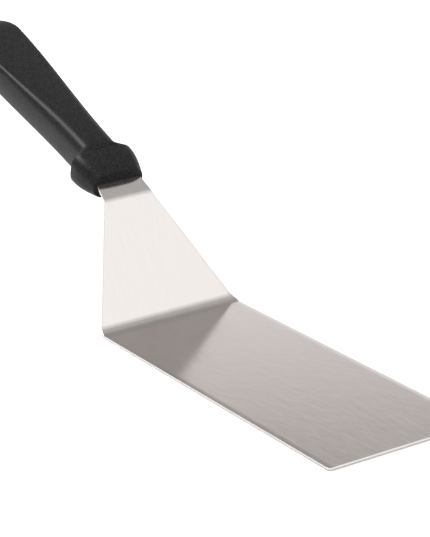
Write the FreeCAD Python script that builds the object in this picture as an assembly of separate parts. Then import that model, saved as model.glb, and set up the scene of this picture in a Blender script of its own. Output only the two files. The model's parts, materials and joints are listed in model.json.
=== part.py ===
import FreeCAD, Part
import math
import os

# Ink knife: a cranked stainless blade with a black plastic handle moulded over its tang.
# Millimetres. The origin is the centre of the blade's flat underside, +X points to the
# blade's front edge, +Y to one side and +Z up. The knife is symmetric about Y = 0.

# Blade: one pressed sheet from the front edge to the end of the tang inside the handle.
# Lengths along it are measured on its underside, from the sharp corners of the bends.
sheet = 1.2
blade_length = 200.0
blade_width = 75.0
front_corner_radius = 1.5
crank_radius = 8.0
neck_rise = 58.4
neck_length = 64.0
neck_top_width = 26.2
shoulder_radius = 12.0
root_radius = 10.0
upper_bend_radius = 6.5
tang_rise = 31.0
tang_exposed = 10.1
tang_taper = 1.0        # what each side of the tang draws in, from the neck top to the handle
tang_set_depth = 3.0    # how far inside the handle the tang is set to the handle's rise
tang_set_radius = 8.0
tang_buried = 92.0
tang_end_radius = 4.0
lock_hole_diameter = 7.0
lock_hole_count = 3
lock_hole_first = 22.0
lock_hole_last = 18.0   # from the last hole to the tang's end

# Handle: its widths and thicknesses at the front face, the collar's back, the waist
# and the palm, and where along it those stand.
handle_rise = 19.6
handle_drop = 0.85      # its axis below the middle of the tang where the tang goes in
handle_length = 158.0
collar_length = 18.6
flare_length = 5.2
butt_length = 17.0
front_wall = 1.6        # plastic on each side of the tang at the front face
grip_wall = 3.2         # plastic on each side of the tang at the waist
front_thickness = 14.0
collar_width = 34.2
collar_thickness = 18.6
waist_width = 21.4
waist_thickness = 21.0
palm_width = 30.7
palm_thickness = 18.0
collar_corner = 6.4
waist_corner = 5.8
palm_corner = 2.0
side_bulge = 1.1
top_bulge = 0.9
lip_chamfer = 0.5
hanging_hole_diameter = 7.0
hanging_hole_inset = 9.5

ACROSS = FreeCAD.Vector(0, 1, 0)
CLEAR = 10.0        # how far a cutting tool runs past what it cuts
LOFT_DEGREE = 2
COLLAR_SECTIONS = 8
FLARE_SECTIONS = 8
GRIP_SECTIONS = 10
BUTT_SECTIONS = 8
CROWDING = 2        # how strongly the sections crowd towards the flare from either side
FLARE_SKEW = 0.6    # below 1, the flare leaves the collar's rim steeply
BUTT_SWEEP = 0.99   # how much of the half ellipse the butt follows before its tip
CORNER_LIMIT = 0.92     # of half the thickness, the most that a corner's radius may be

tang_mouth_width = neck_top_width - 2 * tang_taper
front_width = tang_mouth_width + 2 * front_wall
tang_core_width = waist_width - 2 * grip_wall
lock_hole_pitch = (tang_buried - lock_hole_first - lock_hole_last) / (lock_hole_count - 1)


def direction(rise):
    """Unit vector that goes back and up at this angle."""
    angle = math.radians(rise)
    return FreeCAD.Vector(-math.cos(angle), 0, math.sin(angle))


def normal(rise):
    """Unit vector square to a sheet that rises at this angle, on its upper side."""
    angle = math.radians(rise)
    return FreeCAD.Vector(math.sin(angle), 0, math.cos(angle))


crank = FreeCAD.Vector(-blade_length / 2, 0, 0)
neck_top = crank + direction(neck_rise) * neck_length
tang_set = neck_top + direction(tang_rise) * (tang_exposed + tang_set_depth)
tang_end = tang_set + direction(handle_rise) * tang_buried
handle_front = (neck_top + direction(tang_rise) * tang_exposed
                + normal(tang_rise) * (sheet / 2)
                - normal(handle_rise) * handle_drop)


def rounded_outline(corners):
    """Closed wire through (point, radius) corners, with a tangent arc at each radius."""
    bends = []
    for i, (point, radius) in enumerate(corners):
        before = (corners[i - 1][0] - point).normalize()
        after = (corners[(i + 1) % len(corners)][0] - point).normalize()
        half = before.getAngle(after) / 2
        if radius == 0:
            bends.append((point, None, point))
            continue
        setback = radius / math.tan(half)
        middle = (before + after).normalize() * (radius / math.sin(half) - radius)
        bends.append((point + before * setback, point + middle, point + after * setback))
    edges = []
    for i, (start, middle, end) in enumerate(bends):
        if middle is not None:
            edges.append(Part.Arc(start, middle, end).toShape())
        edges.append(Part.LineSegment(end, bends[(i + 1) % len(bends)][0]).toShape())
    return Part.Wire(edges)


def mitre(rise_before, rise_after):
    """From a bend's underside corner to its upper side corner."""
    middle = normal((rise_before + rise_after) / 2)
    half_turn = math.radians(abs(rise_before - rise_after) / 2)
    return middle * (sheet / math.cos(half_turn))


def pressed_strip():
    """The blade's side profile, bent at the crank, the neck top and the set, at full width."""
    front = FreeCAD.Vector(blade_length / 2, 0, 0)
    corners = [
        (front, 0),
        (crank, crank_radius + sheet),
        (neck_top, upper_bend_radius),
        (tang_set, tang_set_radius),
        (tang_end, 0),
        (tang_end + normal(handle_rise) * sheet, 0),
        (tang_set + mitre(tang_rise, handle_rise), tang_set_radius + sheet),
        (neck_top + mitre(neck_rise, tang_rise), upper_bend_radius + sheet),
        (crank + mitre(0, neck_rise), crank_radius),
        (front + normal(0) * sheet, 0),
    ]
    profile = Part.Face(rounded_outline(corners))
    profile.translate(ACROSS * (-blade_width / 2))
    return profile.extrude(ACROSS * blade_width)


def side_waste(start, rise, corners):
    """Metal sheared off one side: (along, out, radius) corners on the rising sheet."""
    along = direction(rise)
    outline = rounded_outline([(start + along * n + ACROSS * out, radius)
                               for n, out, radius in corners])
    outline.translate(normal(rise) * -CLEAR)
    return Part.Face(outline).extrude(normal(rise) * (2 * CLEAR))


def neck_waste():
    """What the neck's taper removes, from the crank to past the neck top."""
    edge = blade_width / 2
    root = neck_top_width / 2
    return side_waste(crank, neck_rise, [
        (-CLEAR / 2, edge, 0),
        (0, edge, shoulder_radius),
        (neck_length, root, root_radius),
        (neck_length + CLEAR / 2, root, 0),
        (neck_length + CLEAR / 2, edge + CLEAR, 0),
        (-CLEAR / 2, edge + CLEAR, 0),
    ])


def tang_waste():
    """What the exposed tang's taper removes, from the neck top to past the front face."""
    outer = blade_width / 2 + CLEAR
    end = tang_exposed + tang_set_depth
    return side_waste(neck_top, tang_rise, [
        (0, neck_top_width / 2, 0),
        (tang_exposed, tang_mouth_width / 2, 0),
        (end, tang_mouth_width / 2, 0),
        (end, outer, 0),
        (0, outer, 0),
    ])


def core_waste():
    """What narrows the buried tang so that the grip's waist covers it, to its end."""
    outer = blade_width / 2 + CLEAR
    mouth = tang_mouth_width / 2
    return side_waste(tang_set, handle_rise, [
        (-tang_set_depth, mouth, 0),
        (0, mouth, 0),
        (collar_length - tang_set_depth, tang_core_width / 2, tang_end_radius),
        (tang_buried, tang_core_width / 2, tang_end_radius),
        (tang_buried, 0, 0),
        (tang_buried + CLEAR, 0, 0),
        (tang_buried + CLEAR, outer, 0),
        (-tang_set_depth, outer, 0),
    ])


def lock_hole(index):
    """A hole in the buried tang that the handle's plastic flows through."""
    along = lock_hole_first + index * lock_hole_pitch
    start = tang_set + direction(handle_rise) * along - normal(handle_rise) * CLEAR
    return Part.makeCylinder(lock_hole_diameter / 2, 2 * CLEAR, start, normal(handle_rise))


def front_corners(shape):
    """The two short upright edges at the corners of the blade's front edge."""
    found = []
    for edge in shape.Edges:
        middle = edge.BoundBox.Center
        at_front = abs(middle.x - blade_length / 2) < sheet / 2
        at_side = abs(abs(middle.y) - blade_width / 2) < sheet / 2
        if at_front and at_side and edge.Length < 2 * sheet:
            found.append(edge)
    return found


def make_blade():
    blade = pressed_strip()
    origin = FreeCAD.Vector(0, 0, 0)
    for waste in (neck_waste(), tang_waste(), core_waste()):
        blade = blade.cut(waste)
        blade = blade.cut(waste.mirror(origin, ACROSS))
    for index in range(lock_hole_count):
        blade = blade.cut(lock_hole(index))
    return blade.makeFillet(front_corner_radius, front_corners(blade))


def handle_point(u, v, w):
    """A place on the handle: u back from its front face, v to the side, w square to it."""
    return (handle_front + direction(handle_rise) * u + ACROSS * v
            + normal(handle_rise) * w)


def corner_points(half_width, half_thick, corner, bulge_scale):
    """Where a section's side arc, corner arc and top arc meet, as (v, w) pairs."""
    side_sag = side_bulge * bulge_scale
    top_sag = top_bulge * bulge_scale
    side_r = (half_thick ** 2 + side_sag ** 2) / (2 * side_sag)
    top_r = (half_width ** 2 + top_sag ** 2) / (2 * top_sag)
    side_centre = half_width - side_r
    top_centre = half_thick - top_r
    # The corner arc's centre is where two circles about the other centres cross.
    near = side_r - corner
    far = top_r - corner
    apart = math.hypot(side_centre, top_centre)
    reach = (near ** 2 - far ** 2 + apart ** 2) / (2 * apart)
    rise = math.sqrt(near ** 2 - reach ** 2)
    to_v = -side_centre / apart
    to_w = top_centre / apart
    centre_v = side_centre + reach * to_v - rise * to_w
    centre_w = reach * to_w + rise * to_v
    side = (side_centre + (centre_v - side_centre) * side_r / near,
            centre_w * side_r / near)
    top = (centre_v * top_r / far,
           top_centre + (centre_w - top_centre) * top_r / far)
    lean_v = (centre_v - side_centre) / near + centre_v / far
    lean_w = centre_w / near + (centre_w - top_centre) / far
    lean = math.hypot(lean_v, lean_w)
    middle = (centre_v + corner * lean_v / lean, centre_w + corner * lean_w / lean)
    return side, middle, top


def handle_section(u, width, thickness, corner, bulge_scale=1.0):
    """A closed section of eight arcs: four gently crowned faces and four corners."""
    half_width = width / 2
    half_thick = thickness / 2
    corner = min(corner, half_thick * CORNER_LIMIT)
    side, middle, top = corner_points(half_width, half_thick, corner, bulge_scale)
    quarter = [(half_width, 0), side, middle, top, (0, half_thick)]
    ring = []
    for sign_v, sign_w, order in ((1, 1, 1), (-1, 1, -1), (-1, -1, 1), (1, -1, -1)):
        ring += [(sign_v * v, sign_w * w) for v, w in quarter[::order]][:-1]
    points = [handle_point(u, v, w) for v, w in ring]
    count = len(points)
    edges = [Part.Arc(points[i - 1], points[i], points[(i + 1) % count]).toShape()
             for i in range(0, count, 2)]
    return Part.Wire(edges)


def ease(start, end, part):
    """From start to end with no slope at either."""
    return start + (end - start) * (1 - math.cos(math.pi * part)) / 2


def collar_section(part, inset=0.0):
    """A section of the collar, from its front face at part 0 to its full size at part 1."""
    swell = math.sin(math.pi / 2 * part)
    width = front_width + (collar_width - front_width) * swell - 2 * inset
    thickness = front_thickness + (collar_thickness - front_thickness) * swell - 2 * inset
    return handle_section(collar_length * part, width, thickness, collar_corner - inset)


def make_lip():
    """The chamfered rim between the handle's front face and the collar's sides."""
    rim = [collar_section(0, lip_chamfer), collar_section(lip_chamfer / collar_length)]
    return Part.makeLoft(rim, True, True)


def collar_body_section(part):
    """A section of the collar behind its lip."""
    start = lip_chamfer / collar_length
    return collar_section(start + (1 - start) * part)


def flare_section(part):
    """Where the collar draws in to the waist, steeply at the rim and then gently."""
    fall = part ** FLARE_SKEW
    return handle_section(collar_length + flare_length * part,
                          ease(collar_width, waist_width, fall),
                          ease(collar_thickness, waist_thickness, fall),
                          ease(collar_corner, waist_corner, fall))


def grip_section(part):
    """From the waist to the palm, where the corners sharpen into long creases."""
    start = collar_length + flare_length
    length = handle_length - butt_length - start
    return handle_section(start + length * part,
                          ease(waist_width, palm_width, part),
                          ease(waist_thickness, palm_thickness, part),
                          ease(waist_corner, palm_corner, part))


def butt_section(part):
    """The rounded end, an ellipse in plan that stops short at a small flat tip."""
    turn = math.asin(BUTT_SWEEP) * part
    shrink = math.cos(turn)
    u = handle_length - butt_length * (1 - math.sin(turn) / BUTT_SWEEP)
    return handle_section(u, palm_width * shrink, palm_thickness * math.sqrt(shrink),
                          palm_corner * shrink, shrink)


def hanging_hole():
    start = handle_point(handle_length - hanging_hole_inset, 0, -palm_thickness)
    return Part.makeCylinder(hanging_hole_diameter / 2, 2 * palm_thickness, start,
                             normal(handle_rise))


def stops(count):
    """Even parts from 0 to 1, both included."""
    return [i / count for i in range(count + 1)]


def make_handle(blade):
    sections = [collar_body_section(1 - left ** CROWDING)
                for left in stops(COLLAR_SECTIONS)[::-1]]
    sections += [flare_section(part) for part in stops(FLARE_SECTIONS)[1:]]
    sections += [grip_section(part ** CROWDING) for part in stops(GRIP_SECTIONS)[1:]]
    sections += [butt_section(part) for part in stops(BUTT_SECTIONS)[1:]]
    handle = Part.makeLoft(sections, True, False, False, LOFT_DEGREE)
    handle = handle.fuse(make_lip())
    handle = handle.cut(hanging_hole())
    return handle.cut(blade)


os.makedirs("parts", exist_ok=True)
blade = make_blade()
nodes = {"blade": blade, "handle": make_handle(blade)}
for name, shape in nodes.items():
    shape.exportStep("parts/" + name + ".step")
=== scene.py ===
import json
import math

import bmesh
import bpy
from mathutils import Matrix, Vector


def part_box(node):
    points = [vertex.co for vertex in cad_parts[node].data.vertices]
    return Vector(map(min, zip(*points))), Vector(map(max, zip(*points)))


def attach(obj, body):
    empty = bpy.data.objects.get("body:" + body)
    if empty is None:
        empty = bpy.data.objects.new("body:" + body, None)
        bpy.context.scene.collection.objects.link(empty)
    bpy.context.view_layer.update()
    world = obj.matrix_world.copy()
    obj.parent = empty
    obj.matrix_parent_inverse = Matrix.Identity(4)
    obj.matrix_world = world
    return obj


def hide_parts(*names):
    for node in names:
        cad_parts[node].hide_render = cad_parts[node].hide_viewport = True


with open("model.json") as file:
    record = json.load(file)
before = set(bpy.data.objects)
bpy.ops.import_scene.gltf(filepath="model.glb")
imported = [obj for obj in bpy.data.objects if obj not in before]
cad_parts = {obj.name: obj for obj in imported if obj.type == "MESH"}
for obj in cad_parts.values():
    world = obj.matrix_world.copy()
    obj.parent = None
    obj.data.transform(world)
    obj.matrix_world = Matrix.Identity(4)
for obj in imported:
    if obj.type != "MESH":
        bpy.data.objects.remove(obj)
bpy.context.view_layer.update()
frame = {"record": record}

# ------------------------------------------------------------------ blade, neck and tang
# One sheet of stainless steel. It is sheared to outline with its rolling grain along its
# length, brushed, tumbled so that its edges lose their burr, and pressed over bars at the
# crank, at the neck's top and, inside the handle, where the tang takes up the handle's rise.

MM = 0.001

SHEET = 1.2 * MM
CRANK_RADIUS = 8.0 * MM
NECK_RISE = math.radians(58.4)
NECK_LENGTH = 64.0 * MM
NECK_TOP_WIDTH = 26.2 * MM
SHOULDER_RADIUS = 12.0 * MM
ROOT_RADIUS = 10.0 * MM
UPPER_BEND_RADIUS = 6.5 * MM
TANG_RISE = math.radians(31.0)
TANG_EXPOSED = 10.1 * MM
TANG_TAPER = 1.0 * MM                       # what each side draws in, from neck top to handle
TANG_SET_DEPTH = 3.0 * MM                   # how far inside the handle the hidden bend is
TANG_SET_RADIUS = 8.0 * MM
TANG_BURIED = 92.0 * MM                     # from the hidden bend to the tang's end
TANG_CORE_FROM = 15.6 * MM                  # past the hidden bend, where it stops narrowing
TANG_CORE_WIDTH = 15.0 * MM
TANG_END_RADIUS = 4.0 * MM
HANDLE_RISE = math.radians(19.6)
LOCK_HOLE_RADIUS = 3.5 * MM
LOCK_HOLES_AT = (22.0 * MM, 48.0 * MM, 74.0 * MM)
FRONT_CORNER = 1.5 * MM
BURR_RADIUS = 0.16 * MM                     # the tumbled edges all round the sheet

CRANK_STEPS = 24
UPPER_BEND_STEPS = 14
HIDDEN_BEND_STEPS = 6
CORNER_STEPS = 8
BLADE_PITCH = 4.0 * MM                      # between the mesh's rows on each straight part
NECK_PITCH = 1.6 * MM
TANG_PITCH = 1.5 * MM
BURIED_PITCH = 2.0 * MM

blade_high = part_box("blade")[1]
blade_width = 2 * blade_high.y
tang_mouth_width = NECK_TOP_WIDTH - 2 * TANG_TAPER
crank_corner = Vector((-blade_high.x, 0, 0))


def back_along(rise):
    """Unit vector that goes back and up at this angle."""
    return Vector((-math.cos(rise), 0, math.sin(rise)))


def square_to(rise):
    """Unit vector square to a sheet that rises at this angle, on its upper side."""
    return Vector((math.sin(rise), 0, math.cos(rise)))


neck_top = crank_corner + back_along(NECK_RISE) * NECK_LENGTH
tang_set = neck_top + back_along(TANG_RISE) * (TANG_EXPOSED + TANG_SET_DEPTH)
tang_end = tang_set + back_along(HANDLE_RISE) * TANG_BURIED


def bend_stations(corner, rise_in, rise_out, radius, steps):
    """Places and rises round a bend of the sheet's underside, ends included."""
    turn = rise_out - rise_in
    hollow = 1 if turn > 0 else -1          # which side of the sheet the bend's centre is on
    to_centre = hollow * radius
    setback = radius * math.tan(abs(turn) / 2)
    start = corner - back_along(rise_in) * setback
    centre = start + square_to(rise_in) * to_centre
    return [(centre - square_to(rise_in + turn * i / steps) * to_centre,
             rise_in + turn * i / steps) for i in range(steps + 1)]


def straight_stations(start, end, rise, pitch):
    """Places between two others on a straight part, ends left out."""
    count = max(2, round((end - start).length / pitch))
    return [(start.lerp(end, i / count), rise) for i in range(1, count)]


def sheet_stations():
    """Underside places from the front edge to the tang's end, with the sheet's rise."""
    crank = bend_stations(crank_corner, 0, NECK_RISE, CRANK_RADIUS + SHEET, CRANK_STEPS)
    upper = bend_stations(neck_top, NECK_RISE, TANG_RISE, UPPER_BEND_RADIUS,
                          UPPER_BEND_STEPS)
    hidden = bend_stations(tang_set, TANG_RISE, HANDLE_RISE, TANG_SET_RADIUS,
                           HIDDEN_BEND_STEPS)
    front = Vector((blade_high.x, 0, 0))
    stations = []
    for i in range(CORNER_STEPS + 1):       # the front edge and its two rounded corners
        inward = FRONT_CORNER * (1 - math.cos(i / CORNER_STEPS * math.pi / 2))
        stations.append((front - Vector((inward, 0, 0)), 0))
    stations += straight_stations(stations[-1][0], crank[0][0], 0, BLADE_PITCH)
    stations += crank
    stations += straight_stations(crank[-1][0], upper[0][0], NECK_RISE, NECK_PITCH)
    stations += upper
    stations += straight_stations(upper[-1][0], hidden[0][0], TANG_RISE, TANG_PITCH)
    stations += hidden
    end_start = tang_end - back_along(HANDLE_RISE) * TANG_END_RADIUS
    stations += straight_stations(hidden[-1][0], end_start, HANDLE_RISE, BURIED_PITCH)
    for i in range(CORNER_STEPS + 1):       # the tang's end and its two rounded corners
        onward = TANG_END_RADIUS * math.sin(i / CORNER_STEPS * math.pi / 2)
        stations.append((end_start + back_along(HANDLE_RISE) * onward, HANDLE_RISE))
    return stations


def rounded_corner(distance, width, slope_in, slope_out, radius):
    """Half width near a corner at distance 0 where the outline turns by an arc."""
    reach = radius * math.tan(abs(slope_out - slope_in) / 2)
    sweep = min(1.0, max(0.0, (distance + reach) / (2 * reach)))
    before = width + distance * math.tan(slope_in)
    after = width + distance * math.tan(slope_out)
    if distance < 0:
        return before + (after - before) * sweep ** 2
    return after + (before - after) * (1 - sweep) ** 2


def half_width_at(place):
    """Half the sheet's width at a place on it, as it was sheared."""
    along_neck = (place - crank_corner).dot(back_along(NECK_RISE))
    along_tang = (place - neck_top).dot(back_along(TANG_RISE))
    wide = blade_width / 2
    narrow = NECK_TOP_WIDTH / 2
    taper = -math.atan((wide - narrow) / NECK_LENGTH)
    if along_neck < NECK_LENGTH / 2:
        half = rounded_corner(along_neck, wide, 0, taper, SHOULDER_RADIUS)
    else:
        half = rounded_corner(along_neck - NECK_LENGTH, narrow, taper, 0, ROOT_RADIUS)
    if along_tang > 0:
        half = min(half, narrow - TANG_TAPER * min(1.0, along_tang / TANG_EXPOSED))
    along_core = (place - tang_set).dot(back_along(HANDLE_RISE))
    if along_core > 0:
        taper = -math.atan((tang_mouth_width - TANG_CORE_WIDTH) / 2 / TANG_CORE_FROM)
        half = rounded_corner(along_core - TANG_CORE_FROM, TANG_CORE_WIDTH / 2, taper, 0,
                              TANG_END_RADIUS)
    past_end = along_core - (TANG_BURIED - TANG_END_RADIUS)
    if past_end > 0:
        half -= TANG_END_RADIUS - math.sqrt(max(0, TANG_END_RADIUS ** 2 - past_end ** 2))
    from_front = blade_high.x - place.x
    if from_front < FRONT_CORNER:
        half -= FRONT_CORNER - math.sqrt(FRONT_CORNER ** 2 - (FRONT_CORNER - from_front) ** 2)
    return half


def sheet_ring(place, rise, columns=28, round_steps=4):
    """The sheet's section at one station, with rounded edges."""
    half = half_width_at(place)

    def at(y, lift):
        return place + Vector((0, y, 0)) + square_to(rise) * lift

    ring = []
    for side in (1, -1):                    # along the underside, then back along the top
        flat = [side * (half - BURR_RADIUS) * (2 * i / columns - 1) for i in range(columns)]
        ring += [at(y, SHEET if side < 0 else 0) for y in flat]
        sweep = [i / round_steps * math.pi / 2 for i in range(round_steps + 1)]
        for leaving, turns in ((True, sweep), (False, sweep[:0:-1])):
            for turn in turns:
                out = half - BURR_RADIUS + BURR_RADIUS * math.sin(turn)
                depth = BURR_RADIUS * (1 - math.cos(turn))
                from_below = leaving == (side > 0)
                ring.append(at(side * out, depth if from_below else SHEET - depth))
    return ring


def skin(name, rings):
    """A closed mesh through rings of points, with a flat face at each end."""
    bm = bmesh.new()
    rows = [[bm.verts.new(point) for point in ring] for ring in rings]
    for near, far in zip(rows, rows[1:]):
        for i in range(len(near)):
            j = (i + 1) % len(near)
            bm.faces.new((near[i], near[j], far[j], far[i]))
    bm.faces.new(rows[0][::-1])
    bm.faces.new(rows[-1])
    bmesh.ops.recalc_face_normals(bm, faces=bm.faces)
    mesh = bpy.data.meshes.new(name)
    bm.to_mesh(mesh)
    bm.free()
    piece = bpy.data.objects.new(name, mesh)
    bpy.context.scene.collection.objects.link(piece)
    return piece


def shade(piece, angle):
    """Smooth shading, with faces that meet at more than the angle kept sharp."""
    piece.data.shade_smooth()
    piece.data.set_sharp_from_angle(angle=math.radians(angle))


def turned_cutter(name, place, axis, profile, sides=64):
    """A closed solid turned about an axis, from (along, radius) pairs."""
    turn_to_axis = Vector((0, 0, 1)).rotation_difference(axis)
    rings = []
    for along, radius in profile:
        ring = []
        for i in range(sides):
            turn = 2 * math.pi * i / sides
            across = Vector((radius * math.cos(turn), radius * math.sin(turn), along))
            ring.append(place + turn_to_axis @ across)
        rings.append(ring)
    return skin(name, rings)


MERGE = 0.002 * MM                          # points closer than this become one
PUNCH_REACH = 2 * SHEET                     # past each face of the sheet


def cut_away(piece, cutter):
    """Takes the cutter's shape out of the piece for good, and leaves no slivers."""
    boolean = piece.modifiers.new("cut", "BOOLEAN")
    boolean.operation = "DIFFERENCE"
    boolean.solver = "EXACT"
    boolean.object = cutter
    bpy.context.view_layer.update()
    cut_piece = piece.evaluated_get(bpy.context.evaluated_depsgraph_get())
    result = bpy.data.meshes.new_from_object(cut_piece)
    bm = bmesh.new()
    bm.from_mesh(result)
    bmesh.ops.remove_doubles(bm, verts=bm.verts, dist=MERGE)
    bmesh.ops.dissolve_degenerate(bm, edges=bm.edges, dist=MERGE)
    bmesh.ops.triangulate(bm, faces=[face for face in bm.faces if len(face.verts) > 4])
    bm.to_mesh(result)
    bm.free()
    piece.modifiers.clear()
    piece.data = result
    bpy.data.objects.remove(cutter)


blade = skin("pressed_blade", [sheet_ring(*station) for station in sheet_stations()])
punch = [(-PUNCH_REACH, LOCK_HOLE_RADIUS), (SHEET + PUNCH_REACH, LOCK_HOLE_RADIUS)]
for along in LOCK_HOLES_AT:
    cut_away(blade, turned_cutter("lock_hole_punch", tang_set + back_along(HANDLE_RISE) * along,
                                  square_to(HANDLE_RISE), punch))
shade(blade, angle=35)


# Sockets of a Mix node: its two inputs and its output, for numbers and for colours.
NUMBER_A, NUMBER_B, NUMBER_OUT = 2, 3, 0
COLOUR_A, COLOUR_B, COLOUR_OUT = 6, 7, 2


def node_builder(owner):
    """Clears a material's or a world's nodes, and gives calls that add a node and join two."""
    tree = owner.node_tree
    tree.nodes.clear()

    def add(kind, **inputs):
        node = tree.nodes.new("ShaderNode" + kind)
        for key, value in inputs.items():
            if key in node.inputs.keys():
                node.inputs[key].default_value = value
            else:
                setattr(node, key, value)
        return node

    def join(source, target):
        tree.links.new(source, target)

    return add, join


def brushed_stainless():
    """Rolled and brushed steel: long fine grain, cloudy streaks and a few light scuffs."""
    steel = bpy.data.materials.new("brushed_stainless")
    steel.use_nodes = True
    add, join = node_builder(steel)
    place = add("TexCoord")
    shader = add("BsdfPrincipled", Metallic=1.0)
    output = add("OutputMaterial")
    join(shader.outputs["BSDF"], output.inputs["Surface"])

    def streaks(scale, detail, turn=0.0):
        """Noise drawn out along the blade, where its scale is smallest."""
        way = add("Mapping")
        way.inputs["Scale"].default_value = scale
        way.inputs["Rotation"].default_value = (0, 0, turn)
        join(place.outputs["Object"], way.inputs["Vector"])
        noise = add("TexNoise", Scale=1.0, Detail=detail, Roughness=0.62)
        join(way.outputs["Vector"], noise.inputs["Vector"])
        return noise.outputs["Fac"]

    grain = streaks((22, 4200, 22), 3.0)
    mottle = streaks((95, 520, 95), 4.0)
    cloud = streaks((14, 60, 14), 5.0)
    scuff = streaks((9, 1500, 9), 1.0, math.radians(7))
    waviness = streaks((80, 210, 80), 5.0)

    # The colour and the polish both follow the same blotches.
    mixed = add("Mix", data_type="FLOAT")
    mixed.inputs["Factor"].default_value = 0.55
    join(cloud, mixed.inputs[NUMBER_A])
    join(mottle, mixed.inputs[NUMBER_B])
    tint = add("ValToRGB")
    tint.color_ramp.elements[0].position = 0.34
    tint.color_ramp.elements[0].color = (0.612, 0.579, 0.563, 1)
    tint.color_ramp.elements[1].position = 0.66
    tint.color_ramp.elements[1].color = (0.650, 0.615, 0.597, 1)
    join(mixed.outputs[NUMBER_OUT], tint.inputs["Fac"])

    # Only the peaks of the scuffs show, as thin bright lines.
    scratch = add("ValToRGB")
    scratch.color_ramp.elements[0].position = 0.735
    scratch.color_ramp.elements[0].color = (0, 0, 0, 1)
    scratch.color_ramp.elements[1].position = 0.775
    scratch.color_ramp.elements[1].color = (1, 1, 1, 1)
    join(scuff, scratch.inputs["Fac"])
    marked = add("Mix", data_type="RGBA")
    join(scratch.outputs["Color"], marked.inputs["Factor"])
    join(tint.outputs["Color"], marked.inputs[COLOUR_A])
    marked.inputs[COLOUR_B].default_value = (0.73, 0.705, 0.685, 1)
    join(marked.outputs[COLOUR_OUT], shader.inputs["Base Color"])

    dull = add("MapRange")
    dull.inputs["From Min"].default_value = 0.35
    dull.inputs["From Max"].default_value = 0.65
    dull.inputs["To Min"].default_value = 0.12
    dull.inputs["To Max"].default_value = 0.19
    join(mixed.outputs[NUMBER_OUT], dull.inputs["Value"])
    join(dull.outputs["Result"], shader.inputs["Roughness"])

    brushing = add("Bump", Strength=0.3, Distance=0.003 * MM)
    join(grain, brushing.inputs["Height"])
    rolling = add("Bump", Strength=1.0, Distance=0.028 * MM)
    join(waviness, rolling.inputs["Height"])
    join(brushing.outputs["Normal"], rolling.inputs["Normal"])
    join(rolling.outputs["Normal"], shader.inputs["Normal"])
    return steel


blade.data.materials.append(brushed_stainless())
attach(blade, "root")
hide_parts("blade")

# ------------------------------------------------------------------ handle
# Black plastic, moulded in one shot over the tang. A flared collar stops the fingers, the
# grip draws in behind it to a nearly round waist and flattens to a creased, wider palm, and
# the butt is rounded with a hole to hang it by. The skin has the mould's fine stipple.

HANDLE_LENGTH = 158.0 * MM
HANDLE_DROP = 0.85 * MM                     # its axis below the tang's middle at the front
COLLAR_LENGTH = 18.6 * MM
FLARE_LENGTH = 5.2 * MM
FLARE_SKEW = 0.6                            # below 1, it draws in sooner behind the rim
BUTT_LENGTH = 17.0 * MM
BUTT_SWEEP = 0.99                           # where the ellipse is cut off, for a small flat tip
FRONT_WALL = 1.6 * MM                       # plastic on each side of the tang
FRONT_SIZE = (tang_mouth_width + 2 * FRONT_WALL, 14.0 * MM)
COLLAR_SIZE = (34.2 * MM, 18.6 * MM)
WAIST_SIZE = (21.4 * MM, 21.0 * MM)
PALM_SIZE = (30.7 * MM, 18.0 * MM)
COLLAR_CORNER = 6.4 * MM
WAIST_CORNER = 5.8 * MM
PALM_CORNER = 2.0 * MM
CORNER_LIMIT = 0.92                         # of half the thickness
SMALLEST_CORNER = 0.1 * MM
SIDE_BULGE = 1.1 * MM
TOP_BULGE = 0.9 * MM
LIP_RADIUS = 0.6 * MM
HOLE_RIM = 0.9 * MM

LIP_STEPS = 6
COLLAR_STEPS = 26
FLARE_STEPS = 22
GRIP_STEPS = 64
BUTT_STEPS = 30
RIM_STEPS = 6

handle_front = (neck_top + back_along(TANG_RISE) * TANG_EXPOSED
                + square_to(TANG_RISE) * (SHEET / 2)
                - square_to(HANDLE_RISE) * HANDLE_DROP)


def ease(part):
    """From 0 to 1 with no slope at either end."""
    return (1 - math.cos(math.pi * part)) / 2


def between(first, second, part):
    """Goes from one list of sizes to another in proportion."""
    return [a + (b - a) * part for a, b in zip(first, second)]


def grip_shape(u):
    """Width, thickness, corner radius and crown of the handle's section at u."""
    collar = (*COLLAR_SIZE, COLLAR_CORNER, 1.0)
    waist = (*WAIST_SIZE, WAIST_CORNER, 1.0)
    palm = (*PALM_SIZE, PALM_CORNER, 1.0)
    if u < COLLAR_LENGTH:
        swell = math.sin(math.pi / 2 * u / COLLAR_LENGTH)
        front = (*FRONT_SIZE, COLLAR_CORNER, 1.0)
        return between(front, collar, swell)
    u -= COLLAR_LENGTH
    if u < FLARE_LENGTH:
        return between(collar, waist, ease((u / FLARE_LENGTH) ** FLARE_SKEW))
    u -= FLARE_LENGTH
    grip_length = HANDLE_LENGTH - BUTT_LENGTH - COLLAR_LENGTH - FLARE_LENGTH
    if u < grip_length:
        return between(waist, palm, ease(u / grip_length))
    reach = min(1.0, (u - grip_length) / BUTT_LENGTH) * BUTT_SWEEP
    shrink = math.sqrt(1 - reach * reach)
    return (PALM_SIZE[0] * shrink, PALM_SIZE[1] * math.sqrt(shrink), PALM_CORNER * shrink,
            shrink)


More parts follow.
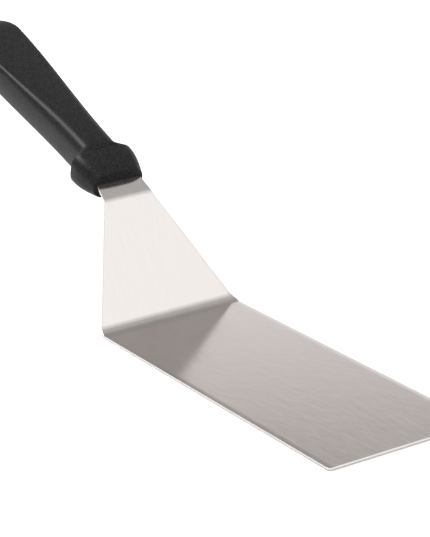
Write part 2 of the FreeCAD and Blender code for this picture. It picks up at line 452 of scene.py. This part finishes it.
def grip_ring(u, inset, side_steps=6, corner_steps=8, top_steps=8):
    """The handle's section at u: four crowned faces and four corner arcs."""
    width, thickness, corner, crown = grip_shape(u)
    half_width = width / 2 - inset
    half_thick = thickness / 2 - inset
    corner = max(min(corner, thickness / 2 * CORNER_LIMIT) - inset, SMALLEST_CORNER)
    side_r = (half_thick ** 2 + (SIDE_BULGE * crown) ** 2) / (2 * SIDE_BULGE * crown)
    top_r = (half_width ** 2 + (TOP_BULGE * crown) ** 2) / (2 * TOP_BULGE * crown)
    side_centre = half_width - side_r
    top_centre = half_thick - top_r
    # The corner arc's centre is where two circles about the other centres cross.
    near = side_r - corner
    far = top_r - corner
    apart = math.hypot(side_centre, top_centre)
    reach = (near ** 2 - far ** 2 + apart ** 2) / (2 * apart)
    rise = math.sqrt(near ** 2 - reach ** 2)
    centre_v = side_centre - reach * side_centre / apart - rise * top_centre / apart
    centre_w = reach * top_centre / apart - rise * side_centre / apart
    side_end = math.atan2(centre_w, centre_v - side_centre)
    top_start = math.atan2(centre_w - top_centre, centre_v)
    quarter = []
    for start, end, steps, v, w, radius in (
            (0, side_end, side_steps, side_centre, 0, side_r),
            (side_end, top_start, corner_steps, centre_v, centre_w, corner),
            (top_start, math.pi / 2, top_steps, 0, top_centre, top_r)):
        for i in range(steps):
            turn = start + (end - start) * i / steps
            quarter.append((v + radius * math.cos(turn), w + radius * math.sin(turn)))
    quarter.append((0, half_thick))
    ring = []
    for sign_v, sign_w, order in ((1, 1, 1), (-1, 1, -1), (-1, -1, 1), (1, -1, -1)):
        ring += [(sign_v * v, sign_w * w) for v, w in quarter[::order]][:-1]
    return ring


def handle_point(u, v, w):
    """A place on the handle: u back from its front face, v to the side, w square to it."""
    return (handle_front + back_along(HANDLE_RISE) * u + Vector((0, v, 0))
            + square_to(HANDLE_RISE) * w)


def handle_stations():
    """(u, inset) from the front face to the butt's tip, close together at the collar's rim."""
    waist = COLLAR_LENGTH + FLARE_LENGTH
    butt = HANDLE_LENGTH - BUTT_LENGTH
    stations = []
    for i in range(LIP_STEPS + 1):
        turn = i / LIP_STEPS * math.pi / 2
        stations.append((LIP_RADIUS * (1 - math.cos(turn)), LIP_RADIUS * (1 - math.sin(turn))))
    for i in range(1, COLLAR_STEPS + 1):
        part = 1 - (1 - i / COLLAR_STEPS) ** 2
        stations.append((LIP_RADIUS + (COLLAR_LENGTH - LIP_RADIUS) * part, 0))
    for i in range(1, FLARE_STEPS + 1):
        stations.append((COLLAR_LENGTH + FLARE_LENGTH * (i / FLARE_STEPS) ** 1.5, 0))
    for i in range(1, GRIP_STEPS + 1):
        stations.append((waist + (butt - waist) * i / GRIP_STEPS, 0))
    for i in range(1, BUTT_STEPS + 1):
        reach = math.sin(math.asin(BUTT_SWEEP) * i / BUTT_STEPS) / BUTT_SWEEP
        stations.append((butt + BUTT_LENGTH * reach, 0))
    return stations


handle = skin("moulded_handle", [[handle_point(u, v, w) for v, w in grip_ring(u, inset)]
                                 for u, inset in handle_stations()])

hole = next(mount for mount in frame["record"]["mounts"] if mount["name"] == "hanging_hole")
hole_radius = hole["dims"]["r_mm"] * MM
hole_u = (Vector(hole["pos_m"]) - handle_front).dot(back_along(HANDLE_RISE))
hole_top = grip_shape(hole_u)[1] / 2
profile = [(hole_top + 2 * HOLE_RIM, hole_radius + HOLE_RIM)]
for i in range(RIM_STEPS + 1):
    drop = HOLE_RIM * math.sin(i / RIM_STEPS * math.pi / 2)
    profile.append((hole_top - drop, hole_radius + HOLE_RIM - drop))
profile += [(-along, radius) for along, radius in reversed(profile)]
cut_away(handle, turned_cutter("hole_cutter", Vector(hole["pos_m"]), Vector(hole["axis"]), profile))

# The plastic closes on the tang and fills its three holes, so the tang's own shape is its void.
mould_core = bpy.data.objects.new("mould_core", blade.data.copy())
mould_core.data.materials.clear()
bpy.context.scene.collection.objects.link(mould_core)
cut_away(handle, mould_core)
shade(handle, angle=40)


def moulded_plastic():
    """Black polypropylene with a spark-eroded mould's stipple, rubbed smooth on its rims."""
    plastic = bpy.data.materials.new("moulded_black_plastic")
    plastic.use_nodes = True
    add, join = node_builder(plastic)
    place = add("TexCoord")
    shader = add("BsdfPrincipled")
    shader.inputs["Specular IOR Level"].default_value = 0.12
    output = add("OutputMaterial")
    join(shader.outputs["BSDF"], output.inputs["Surface"])

    # The stipple gives both the relief and the grain in the black.
    stipple = add("TexNoise", Scale=1050.0, Detail=3.0, Roughness=0.6)
    join(place.outputs["Object"], stipple.inputs["Vector"])
    handling = add("TexNoise", Scale=60.0, Detail=4.0, Roughness=0.6)
    join(place.outputs["Object"], handling.inputs["Vector"])
    shine = add("MapRange")
    shine.inputs["To Min"].default_value = 0.34
    shine.inputs["To Max"].default_value = 0.46
    join(handling.outputs["Fac"], shine.inputs["Value"])

    # Rims and creases, where a rounded normal parts from the true one, are rubbed smoother.
    rounded = add("Bevel", samples=6)
    rounded.inputs["Radius"].default_value = 0.9 * MM
    shape = add("NewGeometry")
    facing = add("VectorMath", operation="DOT_PRODUCT")
    join(rounded.outputs["Normal"], facing.inputs[0])
    join(shape.outputs["Normal"], facing.inputs[1])
    rim = add("MapRange")
    rim.inputs["From Min"].default_value = 0.80
    rim.inputs["From Max"].default_value = 0.99
    rim.inputs["To Min"].default_value = 0.70
    rim.inputs["To Max"].default_value = 1.0
    join(facing.outputs["Value"], rim.inputs["Value"])
    rubbed = add("Math", operation="MULTIPLY")
    join(shine.outputs["Result"], rubbed.inputs[0])
    join(rim.outputs["Result"], rubbed.inputs[1])
    join(rubbed.outputs["Value"], shader.inputs["Roughness"])

    shade_ramp = add("ValToRGB")
    shade_ramp.color_ramp.elements[0].position = 0.3
    shade_ramp.color_ramp.elements[0].color = (0.0002, 0.0002, 0.0002, 1)
    shade_ramp.color_ramp.elements[1].position = 0.7
    shade_ramp.color_ramp.elements[1].color = (0.0190, 0.0190, 0.0195, 1)
    join(stipple.outputs["Fac"], shade_ramp.inputs["Fac"])
    join(shade_ramp.outputs["Color"], shader.inputs["Base Color"])
    bump = add("Bump", Strength=0.8, Distance=0.09 * MM)
    join(stipple.outputs["Fac"], bump.inputs["Height"])
    join(bump.outputs["Normal"], shader.inputs["Normal"])
    return plastic


handle.data.materials.clear()
handle.data.materials.append(moulded_plastic())
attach(handle, "root")
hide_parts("handle")

# ------------------------------------------------------------------ studio
# A wide table covered in white paper, inside a light tent. The tent's roof is brightest in front
# of the knife and dims towards its handle end. A bright low wall runs all round the table.

TABLE_REACH = 3.0
TABLE_CLEARANCE = 0.2 * MM                  # keeps the table off the blade's underside

table_mesh = bpy.data.meshes.new("table")
table_mesh.from_pydata([(-TABLE_REACH, -TABLE_REACH, 0), (TABLE_REACH, -TABLE_REACH, 0),
                        (TABLE_REACH, TABLE_REACH, 0), (-TABLE_REACH, TABLE_REACH, 0)],
                       [], [(0, 1, 2, 3)])
table = bpy.data.objects.new("table", table_mesh)
bpy.context.scene.collection.objects.link(table)
table.location.z = -TABLE_CLEARANCE


def white_paper():
    """Matt white paper with a faint unevenness from its fibres."""
    paper = bpy.data.materials.new("white_paper")
    paper.use_nodes = True
    add, join = node_builder(paper)
    place = add("TexCoord")
    fibre = add("TexNoise", Scale=40.0, Detail=3.0)
    join(place.outputs["Object"], fibre.inputs["Vector"])
    tone = add("ValToRGB")
    tone.color_ramp.elements[0].color = (0.80, 0.80, 0.80, 1)
    tone.color_ramp.elements[1].color = (0.84, 0.84, 0.84, 1)
    join(fibre.outputs["Fac"], tone.inputs["Fac"])
    shader = add("BsdfPrincipled", Roughness=0.9)
    shader.inputs["Specular IOR Level"].default_value = 0.1
    join(tone.outputs["Color"], shader.inputs["Base Color"])
    output = add("OutputMaterial")
    join(shader.outputs["BSDF"], output.inputs["Surface"])
    return paper


table_mesh.materials.append(white_paper())

# The tent's radiance: overhead by the direction's x, and low down by its height.
TENT_FULL = 1.6                             # radiance where a ramp below reads 1
FRONT_TO_BACK = ((-1.0, 0.40), (-0.44, 0.47), (-0.13, 0.63), (0.07, 0.65), (0.31, 0.98),
                 (0.66, 1.45), (1.0, 1.50))
LOW_WALL = ((0.0, 1.07), (0.335, 1.06), (0.36, 0.91), (0.39, 0.70), (0.415, 0.40), (1.0, 0.40))
LOW_WALL_TINT = (1.03, 0.995, 0.98)

world = bpy.data.worlds.new("light_tent")
bpy.context.scene.world = world
world.use_nodes = True
add, join = node_builder(world)


def tent_ramp(levels, low, high, tint=(1.0, 1.0, 1.0)):
    """A colour ramp through (place, radiance) pairs, read between low and high."""
    ramp_node = add("ValToRGB")
    ramp = ramp_node.color_ramp
    ramp.interpolation = "EASE"
    while len(ramp.elements) < len(levels):
        ramp.elements.new(0.5)
    for element, (at, level) in zip(ramp.elements, levels):
        element.position = (at - low) / (high - low)
        element.color = (*(level / TENT_FULL * part for part in tint), 1)
    return ramp_node


where = add("TexCoord")
split = add("SeparateXYZ")
join(where.outputs["Generated"], split.inputs["Vector"])
across = add("MapRange")
across.inputs["From Min"].default_value = -1.0
across.inputs["From Max"].default_value = 1.0
join(split.outputs["X"], across.inputs["Value"])
roof = tent_ramp(FRONT_TO_BACK, -1.0, 1.0)
join(across.outputs["Result"], roof.inputs["Fac"])
wall = tent_ramp(LOW_WALL, 0.0, 1.0, LOW_WALL_TINT)
join(split.outputs["Z"], wall.inputs["Fac"])
# The low wall gives way to the roof between these two heights.
above = add("MapRange", interpolation_type="SMOOTHSTEP")
above.inputs["From Min"].default_value = 0.42
above.inputs["From Max"].default_value = 0.56
join(split.outputs["Z"], above.inputs["Value"])
seam = add("Mix", data_type="RGBA")
join(above.outputs["Result"], seam.inputs["Factor"])
join(wall.outputs["Color"], seam.inputs[COLOUR_A])
join(roof.outputs["Color"], seam.inputs[COLOUR_B])
tent = add("Background", Strength=TENT_FULL)
join(seam.outputs[COLOUR_OUT], tent.inputs["Color"])
world_output = add("OutputWorld")
join(tent.outputs["Background"], world_output.inputs["Surface"])

KNIFE_MIDDLE = Vector((-0.1, 0, 0.03))


def soft_light(name, toward, distance, size, power, in_reflections=True):
    """A square light that faces the knife, from this direction and distance."""
    light = bpy.data.lights.new(name, "AREA")
    light.shape = "SQUARE"
    light.size = size
    light.energy = power
    lamp = bpy.data.objects.new(name, light)
    bpy.context.scene.collection.objects.link(lamp)
    lamp.location = KNIFE_MIDDLE + Vector(toward).normalized() * distance
    lamp.rotation_euler = Vector(toward).to_track_quat("Z", "Y").to_euler()
    lamp.visible_glossy = in_reflections


soft_light("tent_top", toward=(0.0, 0.0, 1.0), distance=2.0, size=2.5, power=27.0,
           in_reflections=False)
soft_light("handle_side", toward=(-0.50, -0.30, 0.81), distance=1.2, size=0.35, power=10.0)

# ------------------------------------------------------------------ camera
# A long lens off the blade's front corner, a little above the table and rolled slightly. It
# frames the blade and the collar, and leaves the blade's far corner and the butt out.

LENS = 148.9
AZIMUTH = math.radians(60.933)
ELEVATION = math.radians(18.98)
ROLL = math.radians(-4.16)
DISTANCE = 1.080
AIM = Vector((-0.0917, 0.0230, 0.0226))

camera_data = bpy.data.cameras.new("camera")
camera_data.lens = LENS
camera = bpy.data.objects.new("camera", camera_data)
bpy.context.scene.collection.objects.link(camera)
from_aim = Vector((math.sin(AZIMUTH) * math.cos(ELEVATION),
                   -math.cos(AZIMUTH) * math.cos(ELEVATION),
                   math.sin(ELEVATION)))
rolled = from_aim.to_track_quat("Z", "Y").to_matrix() @ Matrix.Rotation(ROLL, 3, "Z")
camera.location = AIM + from_aim * DISTANCE
camera.rotation_euler = rolled.to_euler()
bpy.context.scene.camera = camera
bpy.context.scene.view_settings.view_transform = "Standard"
bpy.context.scene.cycles.use_denoising = True
